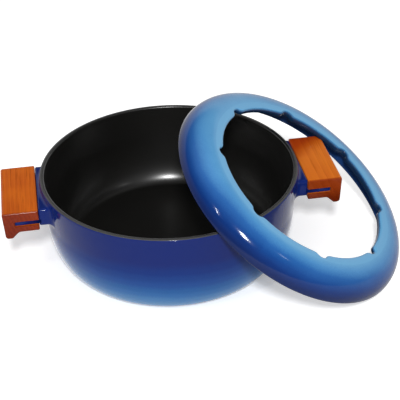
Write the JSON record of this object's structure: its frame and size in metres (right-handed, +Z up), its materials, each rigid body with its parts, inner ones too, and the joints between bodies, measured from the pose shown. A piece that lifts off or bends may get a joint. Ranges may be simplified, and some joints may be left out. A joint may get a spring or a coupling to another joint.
{
  "type": "fondue pot",
  "caption": "Round enamelled cast-iron pot with wooden side grips on cast tangs and a loose domed ring with fork notches leaning on its rim.",
  "frame": {"origin": "centre of the pot's flat base, on the surface that it stands on", "axes": "+Z up along the pot's axis, +X along the line through both grips, towards the side where the ring leans; the picture was taken from the -Y side"},
  "size_m": [0.3679, 0.2786, 0.144],
  "materials": {
    "pot_enamel": "glossy blue enamel outside, satin black inside, bare grey rim",
    "ring_enamel": "glossy blue enamel, lighter towards the opening",
    "grip_wood": "varnished",
    "screw_steel": "plain"
  },
  "bodies": {
    "pot": {"pot_body": "pot_enamel", "left_grip": "grip_wood", "right_grip": "grip_wood", "left_grip_screw_front": "screw_steel", "left_grip_screw_rear": "screw_steel", "right_grip_screw_front": "screw_steel", "right_grip_screw_rear": "screw_steel"},
    "fork_ring": {"fork_ring": "ring_enamel"}
  },
  "joints": [
    {"name": "ring_lift", "type": "slide", "parent": "pot", "child": "fork_ring", "axis": [0, 0, 1], "range_m": [0, 0.12]}
  ]
}
